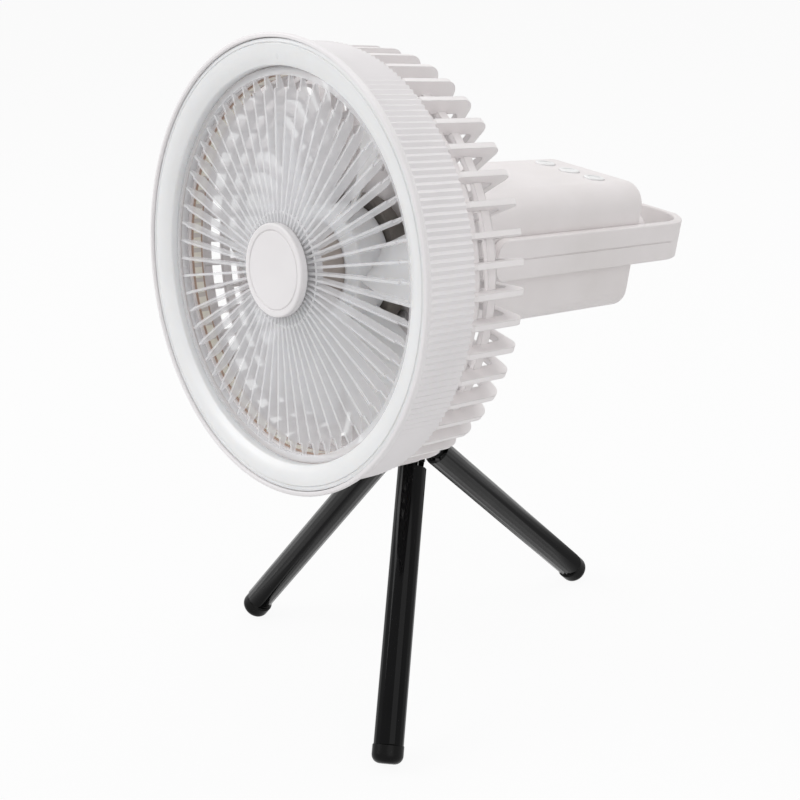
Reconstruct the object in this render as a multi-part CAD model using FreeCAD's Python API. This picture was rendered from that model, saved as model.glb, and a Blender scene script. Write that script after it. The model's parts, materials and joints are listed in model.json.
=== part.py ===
import FreeCAD, Part
import math
import os

os.makedirs("parts", exist_ok=True)

# Portable camping fan. The head is drawn level, then leaned and set down on its tripod.
# In the head's own frame the rim's front plane is y = 0, the back is +y and up is +z.

# Ridged ring round the front
ring_radius = 100.0
rim_depth = 4.2
ring_depth = 28.6
lip_step = 2.9
ridge_count = 200
ridge_height = 0.9
ring_wall = 1.6

# Light ring and its board
diffuser_width = 11.0
diffuser_slope = 3.2
diffuser_skirt = 8.4
board_gap = 0.6
board_thickness = 1.6
chip_count = 36
chip_size = 2.8

# Clear front grille and white cap
rib_count = 60
rib_thickness = 1.1
rib_height = 5.0
cap_radius = 20.6
cap_thickness = 3.4

# Rear cage
fin_count = 48
fin_thickness = 2.6
fin_bar = 7.2
fin_arm = 5.0
fin_corner = 6.0
cage_depth = 61.5
cage_dish = 1.0
plate_radius = 44.0
plate_thickness = 3.4
band_width = 4.4
band_starts = (34.0, 43.2)
ring_width = 3.0
ring_pitch = 8.0
rear_ring_count = 4

# Motor and blades
blade_count = 6
blade_reach = 79.0
blade_thickness = 1.7
blade_start = -16.0
can_radius = 20.8
can_front = 11.2
can_wall = 1.5
cup_radius = 27.0
cup_front = 24.0
cup_length = 21.0
motor_radius = 31.0
magnet_thickness = 1.7
shaft_radius = 1.5

# Battery and control box
box_width = 73.4
box_top = 36.5
box_bottom = -29.0
box_length = 146.0
box_wall = 2.6
box_end_round = 4.5
cover_thickness = 1.5
cover_margin = 12.0
cover_half = 29.0
cell_radius = 9.2
cell_length = 65.0
board_drop = 19.0
board_width = 56.0
port_x = 18.5
button_radius = 5.25
button_spacing = 17.0
button_from_back = 20.5
button_travel = 1.0

# Carrying handle
handle_height = 20.0
handle_middle = 6.8
handle_thickness = 4.5
handle_gap = 40.0
handle_corner = 26.0
handle_edge = 0.9
handle_front = 97.5
hinge_radius = 3.0

# Tripod under the box
post_y = 100.0
post_plate_radius = 15.0
post_plate_thickness = 3.9
ball_radius = 9.0
ball_drop = 18.0
socket_radius = 13.0
hinge_circle = 11.5
hinge_drop = 75.0
leg_width = 14.4
leg_depth = 9.4
leg_length = 143.4
leg_bearing = -40.5
leg_rise = 0.7615
foot_radius = 7.6
foot_edge = 4.2
foot_height = 5.8
foot_flat = 0.5

# Lean of the head on its opened legs
lean_back = 8.57
lean_side = 5.69

# Gaps between pieces
seat_gap = 0.1
part_gap = 0.3
run_gap = 0.05
swing_gap = 0.5

# Measures that follow from the sizes above
band_radius = ring_radius - lip_step
ridge_root = band_radius - ridge_height
ring_bore = ridge_root - ring_wall
lip_radius = ring_radius - 2.1
ring_shelf = 3.4
face_outer = lip_radius - part_gap
face_inner = face_outer - diffuser_width
board_front = diffuser_skirt + board_gap
cage_front = board_front + board_thickness + seat_gap
cage_wall = ring_bore - 0.4
grille_radius = face_inner - part_gap
grille_seat = cage_front + 1.4
fin_reach = ring_radius - 4.4
duct_end = grille_seat + 8.5
plate_back = cage_depth - cage_dish
plate_front = plate_back - plate_thickness
cup_back = cup_front + cup_length
box_start = plate_back + seat_gap
box_end = box_start + box_length
box_half = box_width / 2
button_y = box_end - button_from_back
handle_half = box_half + swing_gap + handle_thickness
handle_end = box_end + handle_gap + handle_thickness
hinge_y = handle_front + handle_height * 0.45
cover_start = post_y + post_plate_radius + 2.0
cover_end = box_end - cover_margin
cell_start = (cover_start + cover_end - cell_length) / 2
board_top = box_top - board_drop
board_start = cell_start - 2.0
board_end = box_end - box_wall - 4.4
port_z = board_top - board_thickness - 1.75
ball_z = box_bottom - ball_drop
hinge_z = box_bottom - hinge_drop


def v(x, y, z):
    return FreeCAD.Vector(x, y, z)


def face_from(path, place):
    # A step of two numbers is a straight line, one of four is an arc through its first point
    start = place(path[0][0], path[0][1])
    last = start
    edges = []
    for step in path[1:]:
        end = place(step[-2], step[-1])
        if len(step) == 4:
            edges.append(Part.Arc(last, place(step[0], step[1]), end).toShape())
        else:
            edges.append(Part.makeLine(last, end))
        last = end
    if last.distanceToPoint(start) > 0.001:
        edges.append(Part.makeLine(last, start))
    return Part.Face(Part.Wire(edges))


def turned(path):
    # Radius and depth, turned about the fan's axis
    face = face_from(path, lambda r, y: v(r, y, 0))
    return face.revolve(v(0, 0, 0), v(0, 1, 0), 360)


def tube(r_in, r_out, y_from, y_to):
    return turned([(r_in, y_from), (r_out, y_from), (r_out, y_to), (r_in, y_to)])


def rod(radius, y_from, y_to, x=0.0, z=0.0):
    return Part.makeCylinder(radius, y_to - y_from, v(x, y_from, z), v(0, 1, 0))


def posted(path):
    # Radius and height, turned about the tripod's post
    face = face_from(path, lambda r, z: v(r, 0, z))
    return face.revolve(v(0, 0, 0), v(0, 0, 1), 360).translated(v(0, post_y, 0))


def peg(radius, z_from, z_to, x, y):
    return Part.makeCylinder(radius, z_to - z_from, v(x, y, z_from), v(0, 0, 1))


def block(x0, x1, y0, y1, z0, z1):
    return Part.makeBox(x1 - x0, y1 - y0, z1 - z0, v(x0, y0, z0))


def round_the_axis(shape, count, start=0.0):
    copies = []
    for i in range(count):
        copy = shape.copy()
        copy.rotate(v(0, 0, 0), v(0, 1, 0), start + i * 360.0 / count)
        copies.append(copy)
    return copies


def joined(shapes):
    return shapes[0].multiFuse(shapes[1:])


def one_solid(shape):
    solids = sorted(shape.Solids, key=lambda s: s.Volume)
    return solids[-1]


def rounded_box(half, bottom, top, y_from, y_to, top_round, bottom_round):
    a = math.sqrt(0.5)
    t = top_round
    b = bottom_round
    path = [(half - b, bottom),
            (half - b + b * a, bottom + b - b * a, half, bottom + b),
            (half, top - t),
            (half - t + t * a, top - t + t * a, half - t, top),
            (t - half, top),
            (t - half - t * a, top - t + t * a, -half, top - t),
            (-half, bottom + b),
            (b - half - b * a, bottom + b - b * a, b - half, bottom)]
    face = face_from(path, lambda x, z: v(x, y_from, z))
    return face.extrude(v(0, y_to - y_from, 0))


# Front of the fan

def ridged_ring():
    corners = []
    for i in range(ridge_count):
        for share, radius in ((0.0, ridge_root), (0.5, band_radius)):
            a = 2 * math.pi * (i + share) / ridge_count
            corners.append(v(radius * math.cos(a), rim_depth, radius * math.sin(a)))
    outer = Part.makePolygon(corners + corners[:1])
    inner = Part.Wire(Part.makeCircle(ring_bore, v(0, rim_depth, 0), v(0, 1, 0)))
    band = Part.Face([outer, inner]).extrude(v(0, ring_depth - rim_depth, 0))
    rim = turned([(lip_radius, ring_shelf), (lip_radius, 0.6),
                  (lip_radius + 0.2, 0.1, lip_radius + 0.7, 0.0),
                  (ring_radius - 0.9, 0.0),
                  (ring_radius - 0.1, 0.5, ring_radius, 1.4),
                  (ring_radius - 0.2, 2.3),
                  (band_radius + 0.3, rim_depth),
                  (ring_bore, rim_depth), (ring_bore, ring_shelf)])
    return one_solid(band.fuse(rim))


def light_diffuser():
    skin = 2.2
    low = 1.2 + diffuser_slope
    groove = face_outer - 1.8
    return turned([(face_outer, 1.3), (groove + 0.3, 1.15), (groove, 1.6), (groove - 0.3, 1.1),
                   (face_inner + diffuser_width * 0.5, 1.55, face_inner + 0.8, low - 0.9),
                   (face_inner + 0.1, low - 0.4, face_inner, low + 0.4),
                   (face_inner, diffuser_skirt),
                   (face_inner + 1.6, diffuser_skirt),
                   (face_inner + 1.6, low + skin - 0.6),
                   (ring_bore - 0.4, ring_shelf - seat_gap),
                   (face_outer, ring_shelf - seat_gap)])


def led_board():
    return tube(face_inner + 0.3, cage_wall, board_front, board_front + board_thickness)


def led_chips():
    middle = (face_inner + cage_wall) / 2 + 1.0
    half = chip_size / 2
    chip = block(middle - half, middle + half, board_front - 1.0, board_front, -half, half)
    return Part.makeCompound(round_the_axis(chip, chip_count))


def front_grille():
    hub = cap_radius - 0.6
    ring_inner = grille_radius - 3.6
    top = cap_thickness + 0.9
    ring = turned([(ring_inner, grille_seat - 5.4), (grille_radius - 0.7, grille_seat - 5.4),
                   (grille_radius, grille_seat - 4.6), (grille_radius, grille_seat),
                   (grille_radius - 1.6, grille_seat), (grille_radius - 1.6, grille_seat - 3.4),
                   (ring_inner, grille_seat - 3.4)])
    disc = tube(4.0, hub, top, top + rib_height)
    slot_ring = tube(hub + 4.6, hub + 5.8, top + 0.9, top + 4.2)
    end = ring_inner + 0.6
    rib = face_from([(hub - 0.8, top + 0.3), (hub + 3.0, top + 0.3),
                     (end - 6.0, grille_seat - 6.2), (end - 6.0, grille_seat - 5.2),
                     (end, grille_seat - 5.0), (end, grille_seat - 3.6),
                     (end - 8.0, grille_seat - 5.6 + rib_height),
                     (hub - 0.8, top + rib_height - 0.2)],
                    lambda r, y: v(r, y, -rib_thickness / 2))
    rib = rib.extrude(v(0, 0, rib_thickness))
    return one_solid(joined([ring, disc, slot_ring] + round_the_axis(rib, rib_count)))


def hub_cap():
    line = cap_radius - 3.2
    back = cap_thickness + 0.8
    return turned([(0.0, 1.0), (line - 0.4, 1.0), (line, 1.4), (line + 0.4, 0.9),
                   (cap_radius - 1.0, 0.8), (cap_radius - 0.2, 1.1, cap_radius, 1.9),
                   (cap_radius, back), (3.8, back), (3.8, back + 3.0), (0.0, back + 3.0)])


# Rear cage

def cage_slope():
    return cage_dish / (fin_reach - plate_radius)


def cage_fin():
    outer = fin_reach
    inner = outer - fin_bar
    back = cage_depth
    front = back - fin_arm
    turn = fin_corner * (1 - math.sqrt(0.5))
    path = [(cage_wall - 0.4, ring_depth - 3.0), (cage_wall - 0.4, ring_depth + 0.8),
            (outer, ring_depth + 3.0), (outer, back - fin_corner),
            (outer - turn, back - turn, outer - fin_corner, back),
            (plate_radius - 2.0, plate_back), (plate_radius - 2.0, plate_back - fin_arm + 0.8),
            (inner - 3.0, front),
            (inner - 0.9, front - 0.9, inner, front - 3.0),
            (inner, ring_depth + 3.0), (cage_wall - 2.4, ring_depth - 3.0)]
    face = face_from(path, lambda r, y: v(r, y, -fin_thickness / 2))
    return face.extrude(v(0, 0, fin_thickness))


def rear_cage():
    wall_in = cage_wall - 2.6
    land = grille_radius + 0.2
    duct = land - 2.6
    barrel = turned([(duct, grille_seat + seat_gap), (land, grille_seat + seat_gap),
                     (land, cage_front), (cage_wall, cage_front), (cage_wall, ring_depth + 1.4),
                     (wall_in, ring_depth + 1.4), (wall_in, grille_seat + 2.5),
                     (duct + 1.8, grille_seat + 2.5), (duct + 1.8, duct_end), (duct, duct_end)])
    rings = []
    inner = fin_reach - fin_bar
    for start in band_starts:
        rings.append(tube(inner - 1.0, inner + 1.2, start, start + band_width))
    for i in range(rear_ring_count):
        radius = plate_radius + ring_pitch * (i + 1)
        back = plate_back + cage_slope() * (radius - plate_radius) - 0.6
        rings.append(tube(radius - ring_width / 2, radius + ring_width / 2, back - 3.0, back))
    plate = tube(9.0, plate_radius, plate_front, plate_back)
    cage = joined([barrel, plate] + rings + round_the_axis(cage_fin(), fin_count))
    for x, z in plate_spots():
        cage = cage.cut(rod(1.7, plate_front - 1.0, plate_back + 1.0, x, z))
    return one_solid(cage)


def plate_spots():
    spots = []
    for x in (-27.0, 27.0):
        for z in (-19.0, 26.0):
            spots.append((x, z))
    return spots


def light_strip():
    duct = grille_radius - 2.4
    return tube(duct - 0.7, duct - 0.1, grille_seat + 1.4, duct_end - 1.2)


def cage_screws():
    screws = []
    for x, z in plate_spots():
        head = rod(3.0, plate_front - 1.9, plate_front - run_gap, x, z)
        screws.append(head.fuse(rod(1.5, plate_front - 1.0, box_start + 9.0, x, z)))
    return Part.makeCompound(screws)


# Motor and blades

def motor_base():
    core = can_radius - can_wall - magnet_thickness - run_gap - swing_gap
    front = cup_back + swing_gap + 0.5
    step = plate_front - 3.0
    return turned([(4.1, can_front + 7.0), (core, can_front + 7.0), (core, front),
                   (motor_radius - 1.0, front), (motor_radius, front + 1.0),
                   (motor_radius, step), (motor_radius - 2.5, step + 0.8),
                   (motor_radius - 2.5, plate_front - seat_gap), (4.1, plate_front - seat_gap)])


def motor_bearings():
    bores = []
    for start in (can_front + 8.0, plate_front - 6.0):
        bores.append(tube(shaft_radius + run_gap, 4.0, start, start + 4.0))
    return Part.makeCompound(bores)


def motor_shaft():
    return rod(shaft_radius, can_front + 1.7, plate_front - 0.6)


def rotor_magnet():
    outer = can_radius - can_wall - run_gap
    return tube(outer - magnet_thickness, outer, can_front + 5.0, cup_back - 1.0)


def motor_can():
    inner = can_radius - can_wall
    bore = shaft_radius + run_gap
    return turned([(0.0, can_front), (can_radius - 2.4, can_front),
                   (can_radius - 0.7, can_front + 0.7, can_radius, can_front + 2.4),
                   (can_radius, cup_back), (inner, cup_back), (inner, can_front + 3.0),
                   (inner - 1.4, can_front + 1.6), (3.6, can_front + 1.6),
                   (3.6, can_front + 6.0), (bore, can_front + 6.0),
                   (bore, can_front + 1.6), (0.0, can_front + 1.6)])


def blade_section(reach, chord, pitch, middle):
    a = math.radians(pitch)
    half = chord / 2
    rise = chord * 0.07
    thin = blade_thickness * 0.3
    thick = blade_thickness / 2

    def spot(along, up):
        z = along * math.cos(a) - up * math.sin(a)
        y = along * math.sin(a) + up * math.cos(a)
        return v(reach, middle + y, z)
    top = Part.Arc(spot(-half, thin), spot(0, rise + thick), spot(half, thin)).toShape()
    low = Part.Arc(spot(half, -thin), spot(0, rise - thick), spot(-half, -thin)).toShape()
    tail = Part.makeLine(spot(half, thin), spot(half, -thin))
    nose = Part.makeLine(spot(-half, -thin), spot(-half, thin))
    return Part.Wire([top, tail, low, nose])


def fan_rotor():
    bore = can_radius + run_gap
    wall = 1.8
    collar = cup_front + 4.0
    cup = turned([(bore, cup_front + 0.4), (bore + 0.5, cup_front), (bore + 1.7, cup_front),
                  (bore + 2.2, cup_front + 0.6), (cup_radius - 1.0, collar - 1.0),
                  (cup_radius - 0.2, collar - 0.2, cup_radius, collar + 1.0),
                  (cup_radius, cup_back), (cup_radius - wall, cup_back),
                  (cup_radius - wall, collar + 1.4), (bore + 2.0, collar),
                  (bore + 2.0, cup_back), (bore, cup_back)])
    middle = cup_front + cup_length * 0.55
    sections = [blade_section(cup_radius - 1.0, 20.0, 44.0, middle),
                blade_section(cup_radius + 18.0, 34.0, 37.0, middle),
                blade_section(blade_reach - 18.0, 41.0, 30.0, middle),
                blade_section(blade_reach, 42.0, 25.0, middle)]
    blade = Part.makeLoft(sections, True, False)
    rotor = joined([cup] + round_the_axis(blade, blade_count, blade_start))
    return one_solid(rotor.cut(rod(cup_radius - wall, collar + 1.6, cup_back + 2.0)
                               .cut(rod(bore + 2.0, collar, cup_back + 3.0))))


# Battery and control box

def cover_spots():
    spots = []
    for x in (-23.0, 23.0):
        for y in (cover_start + 6.0, cover_end - 6.0):
            spots.append((x, y))
    return spots


def board_spots():
    spots = []
    for x in (-24.0, 24.0):
        for y in (board_start + 6.0, board_end - 5.0):
            spots.append((x, y))
    return spots


def box_shell():
    shell = rounded_box(box_half, box_bottom, box_top, box_start, box_end, 12.0, 10.0)
    rear = [e for e in shell.Edges if e.BoundBox.YMin > box_end - 0.01]
    shell = shell.makeFillet(box_end_round, rear)
    hollow = rounded_box(box_half - box_wall, box_bottom + box_wall, box_top - box_wall,
                         box_start + box_wall, box_end - box_wall,
                         12.0 - box_wall, 10.0 - box_wall)
    shell = shell.cut(hollow)
    low = box_bottom
    posts = [peg(8.0, low + 1.0, low + 12.0, 0, post_y)]
    for x, y in cover_spots():
        posts.append(peg(3.6, low + cover_thickness + 0.3, low + 9.0, x, y))
    for x, y in board_spots():
        posts.append(peg(3.0, board_top + seat_gap, box_top - 1.0, x, y))
    for x, z in plate_spots():
        posts.append(rod(4.0, box_start + 1.0, box_start + 10.0, x, z))
    shell = joined([shell] + posts)
    door = cell_length / 2 - 6.0
    middle = cell_start + cell_length / 2
    cuts = [block(-cover_half, cover_half, cover_start, cover_end, low - 1,
                  low + cover_thickness + seat_gap),
            block(-18.0, 18.0, middle - door, middle + door, low - 1, low + 4),
            peg(5.1, low - 1, low + 9.5, 0, post_y)]
    for x, y in cover_spots():
        cuts.append(peg(1.3, low, low + 8.0, x, y))
    for x, z in plate_spots():
        cuts.append(rod(1.6, box_start - 1, box_start + 9.5, x, z))
    for side in (-1, 0, 1):
        x = side * button_spacing
        cuts.append(peg(button_radius + part_gap, box_top - 5, box_top + 1, x, button_y))
    for side in (-1, 1):
        pin = Part.makeCylinder(hinge_radius + seat_gap, 6.0,
                                v(side * (box_half - 4.0), hinge_y, handle_middle), v(side, 0, 0))
        cuts.append(pin)
    cuts.append(port_slot(5.0, 1.9, box_end - 5.0, box_end + 1.0))
    for tool in cuts:
        shell = shell.cut(tool)
    return one_solid(shell)


def port_slot(half, high, y_from, y_to):
    side = half - high
    bar = block(port_x - side, port_x + side, y_from, y_to, port_z - high, port_z + high)
    ends = [rod(high, y_from, y_to, port_x - side, port_z)]
    ends.append(rod(high, y_from, y_to, port_x + side, port_z))
    return joined([bar] + ends)


def bottom_cover():
    low = box_bottom
    half = cover_half - part_gap
    start = cover_start + part_gap
    cover = block(-half, half, start, cover_end - part_gap, low, low + cover_thickness)
    upright = [e for e in cover.Edges if abs(e.tangentAt(e.FirstParameter).z) > 0.9]
    cover = cover.makeFillet(1.0, upright)
    for x, y in cover_spots():
        cover = cover.cut(peg(1.4, low - 1, low + 3, x, y))
        cover = cover.cut(peg(2.6, low - 1, low + 0.8, x, y))
    for i in range(6):
        y = start + 14.0 + i * 4.0
        cover = cover.cut(block(-9.0, 9.0, y, y + 1.6, low - 1, low + 0.5))
    return cover


def cover_screws():
    screws = []
    for x, y in cover_spots():
        head = peg(2.4, box_bottom + 0.05, box_bottom + 0.75, x, y)
        screws.append(head.fuse(peg(1.15, box_bottom + 0.5, box_bottom + 7.5, x, y)))
    return Part.makeCompound(screws)


def battery_cells():
    floor = box_bottom + box_wall + 0.2
    cells = []
    for x in (-cell_radius - 0.1, cell_radius + 0.1):
        for level in (0, 1):
            z = floor + cell_radius + level * (2 * cell_radius + 0.2)
            cell = rod(cell_radius, cell_start, cell_start + cell_length, x, z)
            tip = rod(3.0, cell_start - 1.1, cell_start + 0.5, x, z)
            cells.append(cell.fuse(tip))
    return Part.makeCompound(cells)


def control_board():
    top = board_top
    half = board_width / 2
    board = block(-half, half, board_start, board_end, top - board_thickness, top)
    parts = [board]
    for side in (-1, 0, 1):
        x = side * button_spacing
        parts.append(block(x - 3, x + 3, button_y - 3, button_y + 3, top - 0.5, top + 2.2))
    parts.append(block(-14, 4, board_start + 14, board_start + 30, top - 0.5, top + 3.0))
    parts.append(block(8, 16, board_start + 18, board_start + 26, top - 0.5, top + 5.0))
    return joined(parts)


def push_button(side):
    x = side * button_spacing
    under = box_top - box_wall
    cap = peg(button_radius, under - 1.0, box_top + 0.8, x, button_y)
    rim = [e for e in cap.Edges if e.BoundBox.ZMin > box_top + 0.7]
    cap = cap.makeFillet(0.5, rim)
    flange = peg(button_radius + 1.4, under - 1.7, under - part_gap, x, button_y)
    stem = peg(1.8, board_top + 2.2 + button_travel + 0.2, under - 1.0, x, button_y)
    mark = peg(button_radius * 0.6, box_top + 0.6, box_top + 2.0, x, button_y)
    return joined([cap, flange, stem]).cut(mark)


def usb_c_port():
    return port_slot(4.5, 1.6, box_end - 8.2, box_end - 0.8).cut(
        port_slot(4.1, 1.2, box_end - 7.6, box_end))


def port_bezel():
    # A collar that stands out round the charging port, with fully rounded ends
    start = box_end + seat_gap
    collar = port_slot(13.4, 6.0, start, start + 6.4)
    rim = [e for e in collar.Edges if e.BoundBox.YMin > start + 6.3]
    collar = collar.makeFillet(0.9, rim)
    collar = collar.cut(port_slot(11.4, 4.2, start + 2.0, start + 8.0))
    return collar.cut(port_slot(5.0, 1.9, start - 1, start + 4))


def tripod_nut():
    return posted([(3.2, box_bottom + 0.1), (5.0, box_bottom + 0.1),
                   (5.0, box_bottom + 9.1), (3.2, box_bottom + 9.1)])


# Carrying handle

def handle():
    half = handle_half
    big = handle_corner
    small = handle_corner - handle_thickness
    a = math.sqrt(0.5)
    inner = half - handle_thickness
    end = handle_end
    path = [(half, handle_front), (half, end - big),
            (half - big + big * a, end - big + big * a, half - big, end),
            (big - half, end),
            (big - half - big * a, end - big + big * a, -half, end - big),
            (-half, handle_front), (-inner, handle_front), (-inner, end - big),
            (big - half - small * a, end - big + small * a, big - half, end - handle_thickness),
            (half - big, end - handle_thickness),
            (half - big + small * a, end - big + small * a, inner, end - big),
            (inner, handle_front)]
    low = handle_middle - handle_height / 2
    high = handle_middle + handle_height / 2
    bow = face_from(path, lambda x, y: v(x, y, low)).extrude(v(0, 0, handle_height))
    f = 7.0
    r = 9.0
    side = [(handle_front + f, low), (end - r, low), (end - r + r * a, low + r - r * a, end, low + r),
            (end, high - 3.0), (end - 0.9, high - 0.9, end - 3.0, high), (handle_front + f, high),
            (handle_front + f - f * a, high - f + f * a, handle_front, high - f),
            (handle_front, low + f),
            (handle_front + f - f * a, low + f - f * a, handle_front + f, low)]
    outline = face_from(side, lambda y, z: v(-half - 1, y, z)).extrude(v(2 * half + 2, 0, 0))
    level = [e for e in bow.Edges if e.BoundBox.ZLength < 0.1]
    bow = bow.makeFillet(handle_edge, level).common(outline)
    for way in (-1, 1):
        bow = bow.cut(Part.makeCylinder(hinge_radius + part_gap, handle_thickness - 1.2,
                                        v(way * (inner - 0.1), hinge_y, handle_middle),
                                        v(way, 0, 0)))
        line = block(half - 0.3, half + 1, handle_front + 6, end - big + 4,
                     handle_middle - 0.3, handle_middle + 0.3)
        if way < 0:
            line = line.mirror(v(0, 0, 0), v(1, 0, 0))
        bow = bow.cut(line)
    return one_solid(bow)


def handle_pins():
    pins = []
    for way in (-1, 1):
        start = box_half - box_wall - 2.2
        stub = Part.makeCylinder(hinge_radius, handle_half - 1.7 - start,
                                 v(way * start, hinge_y, handle_middle), v(way, 0, 0))
        head = Part.makeCylinder(hinge_radius + 2.0, 2.0,
                                 v(way * start, hinge_y, handle_middle), v(way, 0, 0))
        pins.append(stub.fuse(head))
    return Part.makeCompound(pins)


# Ball head under the box

def mount_plate():
    top = box_bottom - seat_gap
    low = top - post_plate_thickness
    plate = posted([(0.0, low), (post_plate_radius - 1.0, low), (post_plate_radius, low + 1.0),
                    (post_plate_radius, top - 0.8), (post_plate_radius - 0.8, top),
                    (3.1, top), (3.1, box_bottom + 7.2), (2.3, box_bottom + 8.0),
                    (0.0, box_bottom + 8.0)])
    for i in range(18):
        notch = peg(0.9, low - 1, top + 1, post_plate_radius + 0.3, 0)
        notch.rotate(v(0, 0, 0), v(0, 0, 1), i * 20.0)
        plate = plate.cut(notch.translated(v(0, post_y, 0)))
    return plate


def ball_stem():
    top = box_bottom - seat_gap - post_plate_thickness - run_gap
    r = ball_radius
    rise = math.sqrt(r * r - 4.5 * 4.5)
    return posted([(0.0, ball_z - r), (r, ball_z, 4.5, ball_z + rise),
                   (4.5, top - 2.0), (6.5, top - 1.0), (6.5, top), (0.0, top)])


def ball_socket():
    cup = ball_radius + part_gap
    mouth = 3.6
    low = ball_z - ball_radius - 7.0
    inner = math.sqrt(cup * cup - mouth * mouth)
    a = math.sqrt(0.5)
    bottom = math.sqrt(cup * cup - 4.3 * 4.3)
    body = posted([(4.3, low), (socket_radius - 1.0, low), (socket_radius, low + 1.0),
                   (socket_radius, ball_z + mouth - 2.0), (socket_radius - 1.6, ball_z + mouth),
                   (inner, ball_z + mouth),
                   (cup, ball_z, cup * a, ball_z - cup * a),
                   (cup * 0.588, ball_z - cup * 0.809, 4.3, ball_z - bottom)])
    hole = rod(2.8, post_y + 5.0, post_y + socket_radius + 2.0, 0.0, ball_z - 3.0)
    return one_solid(body.cut(hole))


def lock_knob():
    z = ball_z - 3.0
    y = post_y + socket_radius
    grip = rod(6.6, y + 0.5, y + 9.5, 0.0, z)
    edge = [e for e in grip.Edges if e.BoundBox.YMin > y + 9.4]
    grip = grip.makeFillet(1.0, edge)
    for i in range(8):
        a = 2 * math.pi * i / 8
        flute = rod(1.5, y + 1.8, y + 10.0, 7.1 * math.cos(a), z + 7.1 * math.sin(a))
        grip = grip.cut(flute)
    return grip.fuse(rod(2.4, post_y + ball_radius + 0.6, y + 1.0, 0.0, z))


def leg_hub():
    top = ball_z - ball_radius - 7.0 - part_gap
    low = hinge_z - 4.6
    column = posted([(0.0, low), (5.6, low), (6.6, low + 1.0), (6.6, top - 5.0),
                     (socket_radius - 1.0, top - 3.2), (socket_radius, top - 2.4),
                     (socket_radius, top - 0.6), (socket_radius - 0.6, top),
                     (4.0, top), (4.0, top + 5.0), (0.0, top + 5.0)])
    shapes = [column]
    reach = hinge_circle
    for way in (-1, 1):
        near = way * 2.9 if way > 0 else way * 5.6
        side = [(4.0, top - 4.0), (socket_radius - 1.6, top - 4.0), (reach + 4.2, hinge_z),
                (reach, hinge_z - 4.2, reach - 4.2, hinge_z), (4.0, hinge_z)]
        ear = face_from(side, lambda r, z: v(r, near, z)).extrude(v(0, 2.7, 0))
        ear = ear.cut(Part.makeCylinder(1.6, 8.0, v(reach, near - 1, hinge_z), v(0, 1, 0)))
        for bearing in leg_bearings():
            shapes.append(about_post(ear, bearing))
    return one_solid(joined(shapes))


def about_post(shape, bearing):
    copy = shape.copy()
    copy.rotate(v(0, 0, 0), v(0, 0, 1), bearing)
    return copy.translated(v(0, post_y, 0))


# Legs and feet

def leg_bearings():
    return [leg_bearing, leg_bearing + 120.0, leg_bearing + 240.0]


def floor_normal():
    a = math.radians(lean_back)
    b = math.radians(lean_side)
    return v(-math.cos(a) * math.sin(b), -math.sin(a), math.cos(a) * math.cos(b))


def leg_spread(bearing):
    # Angle from the post at which this leg's foot reaches the floor the others stand on
    n = floor_normal()
    t = math.radians(bearing)
    along = n.x * math.cos(t) + n.y * math.sin(t)
    drop = foot_drop() + hinge_circle * along
    size = math.hypot(n.z, along)
    return math.degrees(math.acos(drop / leg_length / size) - math.atan2(along, n.z))


def foot_drop():
    return leg_length * leg_rise


def on_leg(shape, bearing):
    copy = shape.copy()
    copy.rotate(v(0, 0, 0), v(0, 1, 0), -leg_spread(bearing))
    return about_post(copy.translated(v(hinge_circle, 0, hinge_z)), bearing)


def leg():
    half = leg_width / 2
    depth = leg_depth / 2
    end = 5.6 - leg_length
    path = [(-depth, -half * 0.4), (depth * 0.25, -half), (depth * 0.82, -half * 0.42),
            (depth, 0, depth * 0.82, half * 0.42), (depth * 0.25, half), (-depth, half * 0.4)]
    bar = face_from(path, lambda x, y: v(x, y, end)).extrude(v(0, 0, -6.6 - end))
    sharp = [e for e in bar.Edges if abs(e.tangentAt(e.FirstParameter).z) > 0.9]
    bar = bar.makeFillet(1.1, sharp)
    eye = Part.makeCylinder(4.4, 5.2, v(0, -2.6, 0), v(0, 1, 0))
    tongue = block(-3.6, 3.4, -2.6, 2.6, -11.0, 0.0)
    body = joined([bar, eye, tongue])
    body = body.cut(Part.makeCylinder(1.5 + part_gap, 8.0, v(0, -4, 0), v(0, 1, 0)))
    body = body.cut(peg(2.7, end - 1.0, end + 6.5, 0, 0))
    return one_solid(body)


def foot():
    # A rounded plug: its lower edge is an arc that meets the floor whatever the leg's spread
    a = math.sqrt(0.5)
    side = foot_radius - foot_edge
    low = -leg_length - foot_height
    turn = low + foot_edge
    path = [(0.0, low), (side, low),
            (side + foot_edge * a, turn - foot_edge * a, foot_radius, turn),
            (foot_radius, 2.6 - leg_length), (foot_radius - 0.7, 3.4 - leg_length),
            (foot_radius - 1.5, 3.7 - leg_length), (foot_radius - 1.5, 4.3 - leg_length),
            (foot_radius - 0.8, 4.6 - leg_length), (foot_radius - 1.4, 5.5 - leg_length),
            (2.6, 5.5 - leg_length), (2.6, 11.5 - leg_length), (0.0, 11.5 - leg_length)]
    face = face_from(path, lambda r, z: v(r, 0, z))
    return face.revolve(v(0, 0, 0), v(0, 0, 1), 360)


def foot_support():
    # How far the foot reaches along the floor's normal from the leg's end point
    tilt = math.acos(leg_rise)
    side = foot_radius - foot_edge
    return side * math.sin(tilt) + (foot_height - foot_edge) * leg_rise + foot_edge


def leg_pins():
    pin = Part.makeCylinder(1.5, 12.4, v(hinge_circle, -6.2, hinge_z), v(0, 1, 0))
    return Part.makeCompound([about_post(pin, b) for b in leg_bearings()])


# Build the pieces level, then lean the whole fan onto the floor

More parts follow.
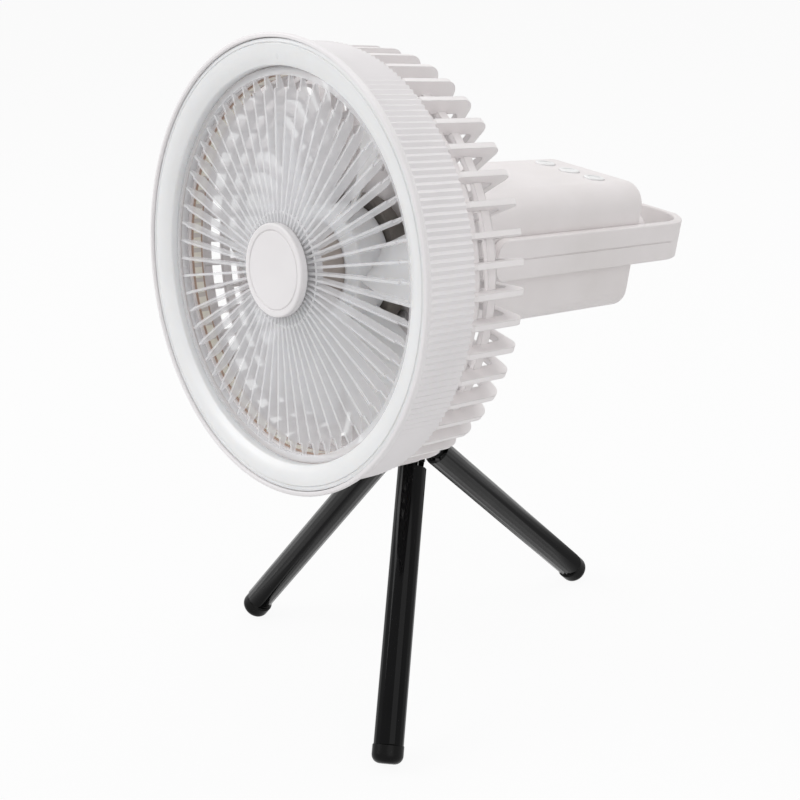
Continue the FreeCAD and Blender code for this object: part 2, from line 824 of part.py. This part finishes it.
def build_all():
    front, rear, left = leg_bearings()
    pieces = {
        "ridged_ring": ridged_ring(), "light_diffuser": light_diffuser(),
        "led_board": led_board(), "led_chips": led_chips(), "light_strip": light_strip(),
        "front_grille": front_grille(), "hub_cap": hub_cap(),
        "rear_cage": rear_cage(), "cage_screws": cage_screws(),
        "motor_base": motor_base(), "motor_bearings": motor_bearings(),
        "motor_shaft": motor_shaft(), "rotor_magnet": rotor_magnet(), "motor_can": motor_can(),
        "fan_rotor": fan_rotor(), "box_shell": box_shell(),
        "bottom_cover": bottom_cover(), "cover_screws": cover_screws(),
        "battery_cells": battery_cells(), "control_board": control_board(),
        "button_left": push_button(-1), "button_middle": push_button(0),
        "button_right": push_button(1), "usb_c_port": usb_c_port(),
        "port_bezel": port_bezel(), "tripod_nut": tripod_nut(),
        "handle": handle(), "handle_pins": handle_pins(),
        "mount_plate": mount_plate(), "ball_stem": ball_stem(),
        "ball_socket": ball_socket(), "lock_knob": lock_knob(),
        "leg_hub": leg_hub(), "leg_pins": leg_pins()}
    for name, bearing in (("front", front), ("rear", rear), ("left", left)):
        pieces["leg_" + name] = on_leg(leg(), bearing)
        pieces["foot_" + name] = on_leg(foot(), bearing)
    return pieces


def lean():
    tilt = FreeCAD.Rotation(v(1, 0, 0), -lean_back)
    roll = FreeCAD.Rotation(v(0, 1, 0), lean_side)
    turn = tilt.multiply(roll)
    hub = turn.multVec(v(0, post_y, hinge_z))
    height = foot_drop() + foot_support() - foot_flat
    return FreeCAD.Placement(v(0, 0, height - hub.z), turn)


def placed(shape, place):
    copy = shape.copy()
    copy.Placement = place.multiply(copy.Placement)
    return copy


def middle_of(shapes):
    low = [1e9, 1e9]
    high = [-1e9, -1e9]
    for shape in shapes:
        for p in shape.tessellate(0.05)[0]:
            low = [min(low[0], p.x), min(low[1], p.y)]
            high = [max(high[0], p.x), max(high[1], p.y)]
    return v((low[0] + high[0]) / 2, (low[1] + high[1]) / 2, 0)


pieces = build_all()
stand = lean()
outermost = ("ridged_ring", "handle", "foot_front", "foot_rear", "foot_left")
shift = middle_of([placed(pieces[name], stand) for name in outermost])
stand = FreeCAD.Placement(stand.Base.sub(shift), stand.Rotation)
above_floor = block(-500, 500, -500, 500, 0, 500)
for name, shape in pieces.items():
    shape = placed(shape, stand)
    if name.startswith("foot_"):
        shape = shape.common(above_floor)
    shape.exportStep("parts/" + name + ".step")
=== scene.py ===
import json
import math
import bpy
from mathutils import Matrix, Vector


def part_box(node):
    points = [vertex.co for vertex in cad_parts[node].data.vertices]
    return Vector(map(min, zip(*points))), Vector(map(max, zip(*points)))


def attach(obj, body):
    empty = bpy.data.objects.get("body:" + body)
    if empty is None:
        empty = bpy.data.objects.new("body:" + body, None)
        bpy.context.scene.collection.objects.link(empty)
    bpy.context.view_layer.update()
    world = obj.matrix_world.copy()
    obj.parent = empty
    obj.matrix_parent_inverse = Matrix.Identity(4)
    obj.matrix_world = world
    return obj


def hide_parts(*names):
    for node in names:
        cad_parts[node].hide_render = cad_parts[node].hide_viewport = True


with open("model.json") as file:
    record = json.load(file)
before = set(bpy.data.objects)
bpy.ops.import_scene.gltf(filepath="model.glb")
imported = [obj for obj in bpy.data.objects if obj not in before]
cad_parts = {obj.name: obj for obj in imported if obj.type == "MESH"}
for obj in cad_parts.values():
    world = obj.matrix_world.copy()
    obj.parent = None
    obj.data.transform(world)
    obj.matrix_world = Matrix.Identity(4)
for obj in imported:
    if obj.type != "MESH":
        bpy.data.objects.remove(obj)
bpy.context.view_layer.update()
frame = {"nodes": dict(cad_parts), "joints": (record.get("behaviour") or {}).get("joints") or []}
print("frame loaded with", len(frame["nodes"]), "nodes")


def linearFromHex(text):
    channels = [int(text[i:i + 2], 16) / 255 for i in (1, 3, 5)]
    return [c / 12.92 if c <= 0.04045 else ((c + 0.055) / 1.055) ** 2.4 for c in channels] + [1.0]


def addNode(tree, kind, place, values=None, links=None, **settings):
    node = tree.nodes.new(kind)
    node.location = place
    for key, value in settings.items():
        setattr(node, key, value)
    for socket, value in (values or {}).items():
        node.inputs[socket].default_value = value
    for socket, source in (links or {}).items():
        tree.links.new(source, node.inputs[socket])
    return node


def newMaterial(name, values):
    material = bpy.data.materials.new(name)
    material.use_nodes = True
    tree = material.node_tree
    tree.nodes.clear()
    shader = addNode(tree, "ShaderNodeBsdfPrincipled", (300, 0), values)
    addNode(tree, "ShaderNodeOutputMaterial", (620, 0), links={"Surface": shader.outputs["BSDF"]})
    return material, tree, shader


def mouldedPlastic(look):
    material, tree, shader = newMaterial(look["name"], {
        "IOR": look["ior"], "Specular IOR Level": look["shine"],
        "Subsurface Weight": look["glow"], "Subsurface Radius": look["glowReach"],
        "Subsurface Scale": 1.0})
    coords = addNode(tree, "ShaderNodeTexCoord", (-900, 0))
    cloud = addNode(tree, "ShaderNodeTexNoise", (-700, 200),
                    {"Scale": 1000 / look["cloudMm"], "Detail": 3.0},
                    {"Vector": coords.outputs["Object"]})
    spread = addNode(tree, "ShaderNodeMapRange", (-480, 200),
                     {"From Min": look["cloudFrom"], "From Max": look["cloudTo"]},
                     {"Value": cloud.outputs["Fac"]})
    tones = addNode(tree, "ShaderNodeMix", (-100, 260),  # sockets 6 and 7 are its two colours
                    {6: linearFromHex(look["colour"]), 7: linearFromHex(look["worn"])},
                    {0: spread.outputs["Result"]}, data_type="RGBA")
    gloss = addNode(tree, "ShaderNodeMapRange", (-100, 0),
                    {"To Min": look["roughness"] - look["roughSpread"],
                     "To Max": look["roughness"] + look["roughSpread"]},
                    {"Value": cloud.outputs["Fac"]})
    grain = addNode(tree, "ShaderNodeTexNoise", (-700, -260),
                    {"Scale": 1000 / look["grainMm"], "Detail": 2.0},
                    {"Vector": coords.outputs["Object"]})
    bump = addNode(tree, "ShaderNodeBump", (-100, -260),
                   {"Strength": look["grain"], "Distance": look["grainDepth"]},
                   {"Height": grain.outputs["Fac"]})
    if look["edgeMm"]:  # shades sharp edges as if they were rounded
        edge = addNode(tree, "ShaderNodeBevel", (-480, -460), {"Radius": look["edgeMm"] / 1000},
                       samples=4)
        tree.links.new(edge.outputs["Normal"], bump.inputs["Normal"])
    tree.links.new(tones.outputs[2], shader.inputs["Base Color"])
    tree.links.new(gloss.outputs["Result"], shader.inputs["Roughness"])
    tree.links.new(bump.outputs["Normal"], shader.inputs["Normal"])
    return material


def plainMetal(look):
    material, tree, shader = newMaterial(look["name"], {
        "Metallic": 1.0, "Base Color": linearFromHex(look["colour"])})
    coords = addNode(tree, "ShaderNodeTexCoord", (-900, 0))
    mottle = addNode(tree, "ShaderNodeTexNoise", (-500, -100), {"Scale": 1000 / look["grainMm"]},
                     {"Vector": coords.outputs["Object"]})
    gloss = addNode(tree, "ShaderNodeMapRange", (-100, 0),
                    {"To Min": look["roughness"] * (1 - look["roughShare"]),
                     "To Max": look["roughness"] * (1 + look["roughShare"])},
                    {"Value": mottle.outputs["Fac"]})
    bump = addNode(tree, "ShaderNodeBump", (-100, -260),
                   {"Strength": look["grain"], "Distance": look["grainDepth"]},
                   {"Height": mottle.outputs["Fac"]})
    tree.links.new(gloss.outputs["Result"], shader.inputs["Roughness"])
    tree.links.new(bump.outputs["Normal"], shader.inputs["Normal"])
    return material


def clearPlastic(look):
    material, tree, shader = newMaterial(look["name"], {
        "Base Color": linearFromHex(look["colour"]), "IOR": look["ior"]})
    coords = addNode(tree, "ShaderNodeTexCoord", (-900, 0))
    flow = addNode(tree, "ShaderNodeTexNoise", (-500, -100), {"Scale": 1000 / look["flowMm"]},
                   {"Vector": coords.outputs["Object"]})
    gloss = addNode(tree, "ShaderNodeMapRange", (-100, 0),
                    {"To Min": look["roughness"], "To Max": look["roughness"] * look["roughWave"]},
                    {"Value": flow.outputs["Fac"]})
    bump = addNode(tree, "ShaderNodeBump", (-100, -260),
                   {"Strength": look["grain"], "Distance": look["grainDepth"]},
                   {"Height": flow.outputs["Fac"]})
    rim = addNode(tree, "ShaderNodeLayerWeight", (-500, 260), {"Blend": look["rimBlend"]})
    cover = addNode(tree, "ShaderNodeMapRange", (-100, 260),  # milkier where it is seen edge on
                    {"To Min": look["milk"], "To Max": look["edgeMilk"]},
                    {"Value": rim.outputs["Facing"]})
    path = addNode(tree, "ShaderNodeLightPath", (-500, 460))
    shade = addNode(tree, "ShaderNodeMapRange", (-100, 460),  # clear plastic casts a weak shadow
                    {"To Min": 1.0, "To Max": look["shadow"]},
                    {"Value": path.outputs["Is Shadow Ray"]})
    body = addNode(tree, "ShaderNodeMath", (100, 320),
                   links={0: cover.outputs["Result"], 1: shade.outputs["Result"]},
                   operation="MULTIPLY")
    tree.links.new(body.outputs["Value"], shader.inputs["Alpha"])
    tree.links.new(gloss.outputs["Result"], shader.inputs["Roughness"])
    tree.links.new(bump.outputs["Normal"], shader.inputs["Normal"])
    return material


def jointNamed(name):
    return [joint for joint in frame["joints"] if joint["name"] == name][0]


def headAxes():  # the rotor's centre, then the head's own back, side and rise
    spin = jointNamed("rotor_spin")
    back = -Vector(spin["axis"]).normalized()
    side = Vector((0, 0, 1)).cross(back).normalized()
    return Vector(spin["pos_m"]), back, side, back.cross(side)


def litStrip(look):
    centre, back, side, rise = headAxes()
    material, tree, shader = newMaterial(look["name"], {"Roughness": look["roughness"]})
    coords = addNode(tree, "ShaderNodeTexCoord", (-900, 0))
    offset = addNode(tree, "ShaderNodeVectorMath", (-720, 0), {1: centre},
                     {0: coords.outputs["Object"]}, operation="SUBTRACT")
    across = []
    for row, direction in enumerate((side, rise, back)):
        dot = addNode(tree, "ShaderNodeVectorMath", (-540, 160 - 160 * row), {1: direction},
                      {0: offset.outputs["Vector"]}, operation="DOT_PRODUCT")
        across.append(dot.outputs["Value"])
    angle = addNode(tree, "ShaderNodeMath", (-360, 160), links={0: across[0], 1: across[1]},
                    operation="ARCTAN2")
    turns = addNode(tree, "ShaderNodeMath", (-200, 160), {1: look["segments"] / (2 * math.pi)},
                    {0: angle.outputs["Value"]}, operation="MULTIPLY")
    share = addNode(tree, "ShaderNodeMath", (-40, 160), links={0: turns.outputs["Value"]},
                    operation="FRACT")
    lit = addNode(tree, "ShaderNodeMath", (120, 160), {1: look["share"]},
                  {0: share.outputs["Value"]}, operation="LESS_THAN")
    pads = addNode(tree, "ShaderNodeMix", (300, 260),  # chips with bare strip between them
                   {6: linearFromHex(look["duct"]), 7: linearFromHex(look["phosphor"])},
                   {0: lit.outputs["Value"]}, data_type="RGBA")
    away = addNode(tree, "ShaderNodeMath", (-200, -160), {1: look["middleMm"] / 1000},
                   {0: across[2]}, operation="SUBTRACT")
    far = addNode(tree, "ShaderNodeMath", (-40, -160), links={0: away.outputs["Value"]},
                  operation="ABSOLUTE")
    border = addNode(tree, "ShaderNodeMath", (120, -160), {1: look["padHalfMm"] / 1000},
                     {0: far.outputs["Value"]}, operation="GREATER_THAN")
    colours = addNode(tree, "ShaderNodeMix", (460, 160),  # copper along both edges
                      {7: linearFromHex(look["copper"])},
                      {0: border.outputs["Value"], 6: pads.outputs[2]}, data_type="RGBA")
    tree.links.new(colours.outputs[2], shader.inputs["Base Color"])
    return material


# Injection-moulded ABS from a spark-textured mould: satin white, faintly cloudy, soft at its edges
whiteAbs = {
    "name": "mouldedWhiteAbs", "colour": "#EFECED", "worn": "#E9E6E7",
    "cloudMm": 30, "cloudFrom": 0.35, "cloudTo": 0.75,  # slow change of tone along a wall
    "grainMm": 0.5,  # the mould's texture is near 0.1 mm, drawn coarser so that it shows
    "grain": 0.25, "grainDepth": 0.0001,
    "roughness": 0.42, "roughSpread": 0.05, "ior": 1.52, "shine": 0.5,
    "edgeMm": 0.5,  # how round a moulded edge looks
    "glow": 0.0, "glowReach": (0.004, 0.0036, 0.0032)}  # light that goes into the wall
# The same ABS, a shade warmer and more matt, as the box and the handle are
warmAbs = dict(whiteAbs, name="mouldedWarmAbs", colour="#EDE8E8", worn="#E7E2E1", roughness=0.48)
# The ring's ABS: its mould has hardly any texture, so that only the ridges break the light
ringAbs = dict(whiteAbs, name="mouldedRidgeAbs", edgeMm=0, grain=0.03)
# The cage's ABS: thin fins, the same ABS painted paler as painted light where the fins are lit from the
# right, with well-rounded edges
cageAbs = dict(whiteAbs, name="mouldedCageAbs", colour="#F6F2F2", worn="#F0ECEC", edgeMm=0.7)
# Opal polycarbonate, moulded smooth: light sinks in, which evens out its shades
opalFace = dict(whiteAbs, name="opalPolycarbonate", colour="#F4F4F4", worn="#EFEFEF", roughness=0.3,
                grain=0.08, glow=0.4)
# Polypropylene blades, moulded thin: waxy, slightly see-through and glossier than the ABS
bladePlastic = dict(whiteAbs, name="mouldedPolypropylene", colour="#EDEDEE", worn="#E6E7E8",
                    roughness=0.22, grain=0.1, glow=0.5)
# The buttons' ABS: a neutral white and a little glossier, so that they stand out from the box
buttonPlastic = dict(whiteAbs, name="mouldedButtonAbs", colour="#F0F0F0", worn="#E8E8E8",
                     roughness=0.35)
# Gloss black ABS from a polished mould: near black, with thin lengthwise glints
legPlastic = dict(whiteAbs, name="glossBlackAbs", colour="#060607", worn="#0A0A0B", roughness=0.09,
                  roughSpread=0.03, grain=0.03, cloudMm=18, shine=0.09, edgeMm=0)
# Glass-filled polyamide, moulded: black, with a dull satin from the fibres
hubPlastic = dict(legPlastic, name="filledPolyamide", roughness=0.34, grain=0.2, edgeMm=0.4)
# Moulded rubber: black, slightly dusty and soft-edged
footRubber = dict(legPlastic, name="mouldedRubber", colour="#0E0E0E", worn="#141414",
                  roughness=0.3, grain=0.15, grainMm=0.8, edgeMm=0.4)
# The motor's base, a grey filled moulding: flat and even, seen only through the grille
motorPlastic = dict(legPlastic, name="filledGreyPolyamide", colour="#706C68", worn="#7B7671",
                    roughness=0.5, grain=0.3)
# Pressed steel can with a brownish coating: even, with a soft glint on its rim
canCoating = dict(legPlastic, name="coatedSteel", colour="#ABA19B", worn="#98908A",
                  roughness=0.35, grain=0.15, shine=0.5)
# Bonded ferrite: dark grey and dull
magnetBody = dict(legPlastic, name="bondedFerrite", colour="#2A2A2B", worn="#333333",
                  roughness=0.6)
# Glass laminate of the light board, bare at its edge: a copper brown
boardLaminate = dict(whiteAbs, name="bareGlassLaminate", colour="#B08A6E", worn="#9A7254",
                     roughness=0.45)
# Glass laminate with a printed green mask: smooth, with a low gloss
controlLaminate = dict(whiteAbs, name="maskedGlassLaminate", colour="#1F5A38", worn="#184A2D",
                       roughness=0.4)
# Silicone cast over the light chips: yellow and glossy
chipResin = dict(whiteAbs, name="castPhosphorResin", colour="#F2E39A", worn="#E8D884",
                 roughness=0.25)
# Shrunk sleeve of the cells: a smooth blue film
cellSleeve = dict(whiteAbs, name="shrunkSleeve", colour="#2F5C9E", worn="#28508B", roughness=0.3)
# Steel with a bright zinc plating: pale grey, finely mottled
steelLook = {"name": "zincPlatedSteel", "colour": "#B9B9BA",
             "grainMm": 0.6,  # crystals near 0.1 mm, drawn coarser so that they show
             "grain": 0.2, "grainDepth": 0.00005, "roughness": 0.32, "roughShare": 0.3}
# Turned brass: yellow, with a fine satin from the tool
brassLook = dict(steelLook, name="turnedBrass", colour="#C9A75A")
# Ball with a polished plating: a clean mirror with hardly any mottle
chromeLook = dict(steelLook, name="platedBall", colour="#C8C8CA", roughness=0.14, grain=0.05)
# Black anodised aluminium: a dark metal with broad soft glints
anodisedLook = dict(steelLook, name="blackAnodised", colour="#26262A", roughness=0.36)
# Clear acrylic, moulded thin: see-through face on and milky edge on, waved where it flowed
clearLook = {"name": "clearAcrylic", "colour": "#F4F4F6", "ior": 1.49, "roughness": 0.16,
             "roughWave": 1.6, "flowMm": 12, "grain": 0.15, "grainDepth": 0.0001,
             "milk": 0.36, "edgeMilk": 0.6, "rimBlend": 0.35, "shadow": 0.25}
# Flexible light strip: pale chips in a row between two bare copper edges
stripLook = {"name": "lightStrip", "copper": "#B89C8B", "phosphor": "#F8F3E6", "duct": "#D9D2CC",
             "roughness": 0.4, "segments": 72, "share": 0.7, "middleMm": -7.55, "padHalfMm": 2.1}

plastics = [whiteAbs, warmAbs, ringAbs, cageAbs, opalFace, bladePlastic, buttonPlastic,
            legPlastic, hubPlastic, footRubber, motorPlastic, canCoating, magnetBody,
            boardLaminate, controlLaminate, chipResin, cellSleeve]
metals = [steelLook, brassLook, chromeLook, anodisedLook]
finishes = {look["name"]: mouldedPlastic(look) for look in plastics}
finishes.update({look["name"]: plainMetal(look) for look in metals})
finishes[clearLook["name"]] = clearPlastic(clearLook)
finishes[stripLook["name"]] = litStrip(stripLook)

nodesOfFinish = {
    "mouldedWhiteAbs": ["hub_cap"],
    "mouldedWarmAbs": ["box_shell", "bottom_cover", "handle", "port_bezel"],
    "mouldedRidgeAbs": ["ridged_ring"],
    "mouldedCageAbs": ["rear_cage"],
    "opalPolycarbonate": ["light_diffuser"],
    "mouldedPolypropylene": ["fan_rotor"],
    "mouldedButtonAbs": ["button_left", "button_middle", "button_right"],
    "glossBlackAbs": ["leg_front", "leg_rear", "leg_left"],
    "filledPolyamide": ["leg_hub", "lock_knob"],
    "mouldedRubber": ["foot_front", "foot_rear", "foot_left"],
    "filledGreyPolyamide": ["motor_base"],
    "coatedSteel": ["motor_can"],
    "bondedFerrite": ["rotor_magnet"],
    "bareGlassLaminate": ["led_board"],
    "maskedGlassLaminate": ["control_board"],
    "castPhosphorResin": ["led_chips"],
    "shrunkSleeve": ["battery_cells"],
    "zincPlatedSteel": ["cage_screws", "cover_screws", "motor_bearings", "motor_shaft",
                        "usb_c_port", "handle_pins", "leg_pins"],
    "turnedBrass": ["tripod_nut"],
    "platedBall": ["ball_stem"],
    "blackAnodised": ["mount_plate", "ball_socket"],
    "clearAcrylic": ["front_grille"],
    "lightStrip": ["light_strip"]}
for finish, nodes in nodesOfFinish.items():
    for name in nodes:
        for slot in frame["nodes"][name].material_slots:
            slot.material = finishes[finish]
print("materials set")


def softenEdges(piece, width, segments, angle):
    soften = piece.modifiers.new("soften", "BEVEL")
    soften.width = width
    soften.segments = segments
    soften.limit_method = "ANGLE"
    soften.angle_limit = math.radians(angle)
    bpy.ops.object.modifier_apply(modifier="soften")
    bpy.ops.object.shade_smooth()


# Legs, rounder than the frame's, with soft lengthwise ridges, in metres
legShape = {
    "across": 0.0146, "sides": 18,
    "ridge": 0.0011, "ridgeSteps": 4, "ridgeAngle": 15,
    "start": 0.0052,  # from the hinge to the shoulder
    "footCover": 0.0014,  # from the leg's end to the middle of the foot
    "tongue": (0.36, 0.468),  # the tongue's size as a share of the leg's
    "rise": 0.0070}  # how far the tongue goes past the shoulder


def alongLeg(name):
    hinge = jointNamed("fold_" + name)
    low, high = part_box("foot_" + name)
    pivot = Vector(hinge["pos_m"])
    run = (Vector(low) + Vector(high)) / 2 - pivot
    axis = Vector(hinge["axis"]).normalized()
    run = run - axis * run.dot(axis)  # the part of it that lies square to the hinge
    return pivot, run.normalized(), run.length, axis


def raiseTongue(leg, shape):
    for face in leg.data.polygons:
        face.select = face.normal.z < -0.9  # the end at the hub
    bpy.ops.object.mode_set(mode="EDIT")
    bpy.ops.mesh.select_mode(type="FACE")
    bpy.ops.mesh.extrude_region_move(TRANSFORM_OT_translate={"value": (0, 0, 0)})
    bpy.ops.transform.resize(value=(*shape["tongue"], 1))
    bpy.ops.mesh.extrude_region_move(TRANSFORM_OT_translate={"value": (0, 0, -shape["rise"])})
    bpy.ops.object.mode_set(mode="OBJECT")


def addLeg(name, shape):
    pivot, way, length, axis = alongLeg(name)
    start = shape["start"]
    end = length - shape["footCover"]
    turn = Matrix((axis, way.cross(axis), way)).transposed().to_4x4()
    bpy.ops.object.select_all(action="DESELECT")
    bpy.ops.mesh.primitive_cylinder_add(vertices=shape["sides"], radius=shape["across"] / 2,
                                        depth=end - start, location=(0, 0, 0))
    leg = bpy.context.object
    leg.name = "glossLeg_" + name
    raiseTongue(leg, shape)
    leg.matrix_world = Matrix.Translation(pivot + way * (start + end) / 2) @ turn
    bpy.ops.object.transform_apply(location=True, rotation=True, scale=True)
    softenEdges(leg, shape["ridge"], shape["ridgeSteps"], shape["ridgeAngle"])
    leg.data.materials.append(finishes["glossBlackAbs"])
    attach(leg, "leg_" + name)
    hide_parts("leg_" + name)


for name in ("front", "rear", "left"):
    addLeg(name, legShape)
print("legs made")

# Collar round the charging port, standing further out than the frame's, in metres
collarShape = {
    "high": 0.0061, "side": 0.0073, "steps": 32,  # half its height, half its straight run, points round it
    "out": 0.0094, "frameOut": 0.0064,  # its length, and that of the frame's own bezel
    "wall": 0.0016, "drop": 0.0018,
    "edge": 0.0006, "edgeSteps": 3, "edgeAngle": 40}


def addCollar(shape):
    across = Vector(jointNamed("handle_swing")["axis"]).normalized()
    back = headAxes()[1]
    low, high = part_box("port_bezel")
    centre = (Vector(low) + Vector(high)) / 2 + back * (shape["out"] - shape["frameOut"]) / 2
    lowered = centre - across.cross(back) * shape["drop"]
    turn = Matrix((across, back.cross(across), back)).transposed().to_4x4()
    bpy.ops.object.select_all(action="DESELECT")
    bpy.ops.mesh.primitive_cylinder_add(vertices=shape["steps"], radius=shape["high"],
                                        depth=shape["out"],
                                        rotation=(0, 0, math.pi / shape["steps"]))
    collar = bpy.context.object
    collar.name = "portCollar"
    bpy.ops.object.transform_apply(location=False, rotation=True, scale=True)
    for vertex in collar.data.vertices:
        vertex.co.x += math.copysign(shape["side"], vertex.co.x)  # pulls the round end halves apart
    for face in collar.data.polygons:
        face.select = abs(face.normal.z) > 0.9  # both flat ends
    bpy.ops.object.mode_set(mode="EDIT")
    bpy.ops.mesh.select_mode(type="FACE")
    bpy.ops.mesh.inset(thickness=shape["wall"])
    bpy.ops.mesh.bridge_edge_loops()
    bpy.ops.object.mode_set(mode="OBJECT")
    collar.matrix_world = Matrix.Translation(lowered) @ turn
    bpy.ops.object.transform_apply(location=True, rotation=True, scale=True)
    softenEdges(collar, shape["edge"], shape["edgeSteps"], shape["edgeAngle"])
    collar.data.materials.append(finishes["mouldedWarmAbs"])
    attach(collar, "head")
    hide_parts("port_bezel")


addCollar(collarShape)
print("collar made")

# Camera, from the photograph's perspective: place in metres, turns in degrees, lens in millimetres
cameraView = {
    "place": (0.4549, -0.4294, 0.3931), "turn": -49.82, "down": 22.35, "roll": -3.69,
    "lens": 58.5}


def addCamera(view):
    turn = Matrix.Rotation(math.radians(-view["turn"]), 4, "Z")
    down = Matrix.Rotation(math.radians(90 - view["down"]), 4, "X")
    roll = Matrix.Rotation(math.radians(view["roll"]), 4, "Z")
    bpy.ops.object.camera_add(location=view["place"])
    camera = bpy.context.object
    camera.matrix_world = Matrix.Translation(Vector(view["place"])) @ turn @ down @ roll
    camera.data.lens = view["lens"]
    camera.data.sensor_width = 36
    camera.data.clip_start = 0.01
    camera.data.dof.use_dof = False
    bpy.context.scene.camera = camera


addCamera(cameraView)

# Studio: pale floor, three soft lamps and a pale surround
studio = {
    "floorSize": 24.0, "floorColour": "#E0E0E0", "floorRoughness": 0.8,
    "floorGlow": 0.93,  # how much of the floor is seen as plain white: the rest holds the shadow
    "surround": 0.43,  # light from all round
    "aim": (0, 0, 0.18),
    "key": {"place": (-1.1, -1.2, 1.2), "size": 1.2, "power": 17.0},
    "fill": {"place": (1.4, -0.5, 1.0), "size": 1.2, "power": 6.2},
    "top": {"place": (0.1, 0.6, 1.7), "size": 1.4, "power": 9.5}}


def addLamp(name, lamp, aim):
    bpy.ops.object.light_add(type="AREA", location=lamp["place"])
    light = bpy.context.object
    light.name = name
    light.data.size = lamp["size"]
    light.data.energy = lamp["power"]
    way = Vector(aim) - Vector(lamp["place"])
    light.rotation_euler = way.to_track_quat("-Z", "Y").to_euler()


def seenRays(tree):  # 1 where the eye, a reflection or clear plastic looks at it
    path = addNode(tree, "ShaderNodeLightPath", (-400, 420))
    total = path.outputs["Is Camera Ray"]
    for kind in ("Is Glossy Ray", "Is Transmission Ray"):
        most = addNode(tree, "ShaderNodeMath", (-100, 420), links={0: total, 1: path.outputs[kind]},
                       operation="MAXIMUM")
        total = most.outputs["Value"]
    return total


def addFloor(values):
    bpy.ops.mesh.primitive_plane_add(size=values["floorSize"], location=(0, 0, 0))
    floor = bpy.context.object
    floor.name = "studioFloor"
    material, tree, shader = newMaterial("paleFloor", {
        "Base Color": linearFromHex(values["floorColour"]), "Roughness": values["floorRoughness"]})
    output = [n for n in tree.nodes if n.type == "OUTPUT_MATERIAL"][0]
    glow = addNode(tree, "ShaderNodeEmission", (300, -360), {"Strength": 1.0})
    share = addNode(tree, "ShaderNodeMath", (300, 320), {1: values["floorGlow"]},
                    {0: seenRays(tree)}, operation="MULTIPLY")
    mix = addNode(tree, "ShaderNodeMixShader", (460, 120), links={
        0: share.outputs["Value"], 1: shader.outputs["BSDF"], 2: glow.outputs["Emission"]})
    tree.links.new(mix.outputs["Shader"], output.inputs["Surface"])
    floor.data.materials.append(material)


def setSurround(strength):
    world = bpy.data.worlds.new("paleStudio")
    world.use_nodes = True
    tree = world.node_tree
    white = (1.0, 1.0, 1.0, 1.0)
    background = tree.nodes["Background"]
    background.inputs["Color"].default_value = white
    background.inputs["Strength"].default_value = strength
    seen = addNode(tree, "ShaderNodeBackground", (0, -160), {"Color": white, "Strength": 1.0})
    mix = addNode(tree, "ShaderNodeMixShader", (220, 60), links={
        0: seenRays(tree), 1: background.outputs["Background"], 2: seen.outputs["Background"]})
    output = [n for n in tree.nodes if n.type == "OUTPUT_WORLD"][0]
    tree.links.new(mix.outputs["Shader"], output.inputs["Surface"])
    bpy.context.scene.world = world


addFloor(studio)
setSurround(studio["surround"])
for name in ("key", "fill", "top"):
    addLamp(name, studio[name], studio["aim"])
bpy.context.scene.view_settings.view_transform = "Standard"
print("camera, floor and lamps set")
